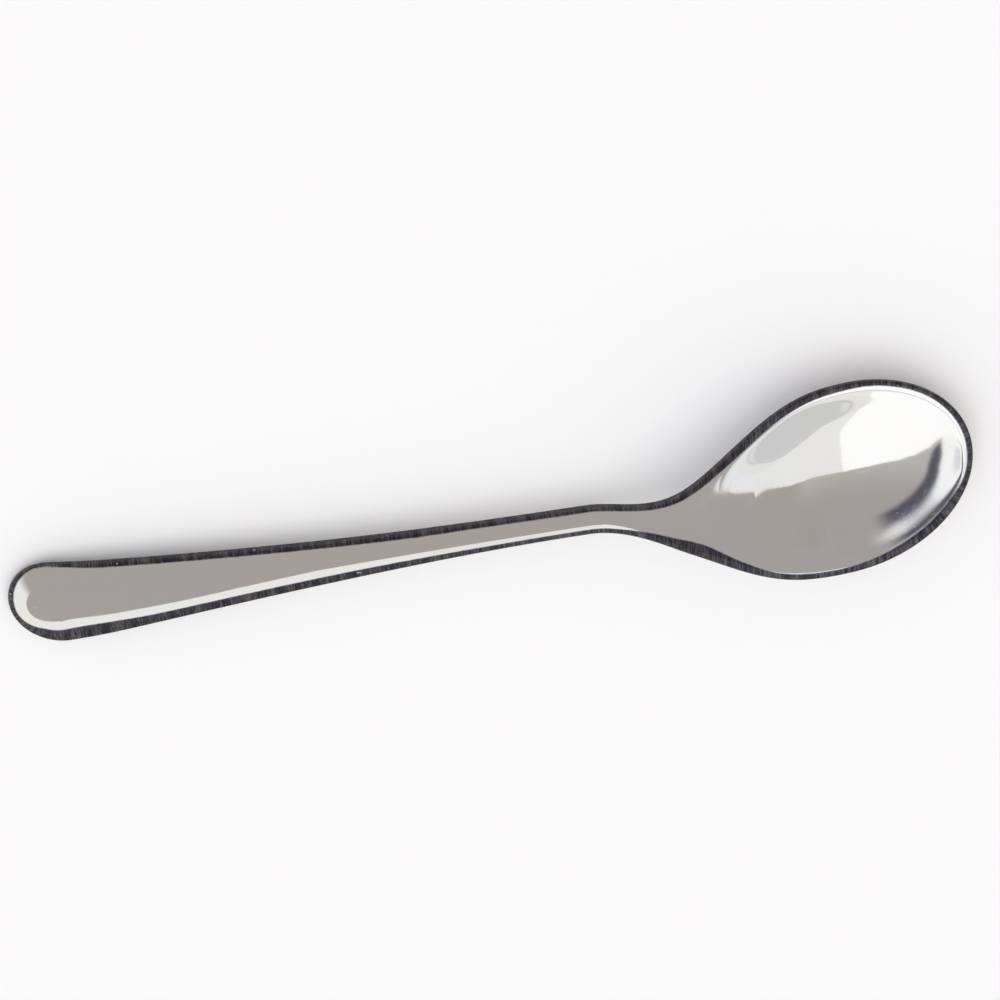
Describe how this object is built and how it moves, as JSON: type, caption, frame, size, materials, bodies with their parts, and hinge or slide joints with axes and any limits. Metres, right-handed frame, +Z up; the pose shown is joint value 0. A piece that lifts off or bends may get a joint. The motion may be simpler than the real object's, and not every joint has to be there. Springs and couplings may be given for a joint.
{
  "type": "dessert spoon",
  "caption": "Plain polished steel dessert spoon: egg-shaped bowl on a slim stem, and a flat tapering handle with a bevelled border and a rounded end.",
  "frame": {"origin": "on the table, under the middle of the spoon as it lies on its bowl and the end of its handle", "axes": "+X from the handle's end to the tip of the bowl, +Z up out of the bowl, Y across, with the spoon symmetric about the XZ plane"},
  "size_m": [0.185, 0.0422, 0.013],
  "materials": {
    "polished_steel": "mirror polished stainless steel with fine handling scratches and a darker ground edge"
  },
  "bodies": {
    "root": {"handle": "polished_steel", "stem": "polished_steel", "neck": "polished_steel", "bowl": "polished_steel"}
  },
  "joints": []
}
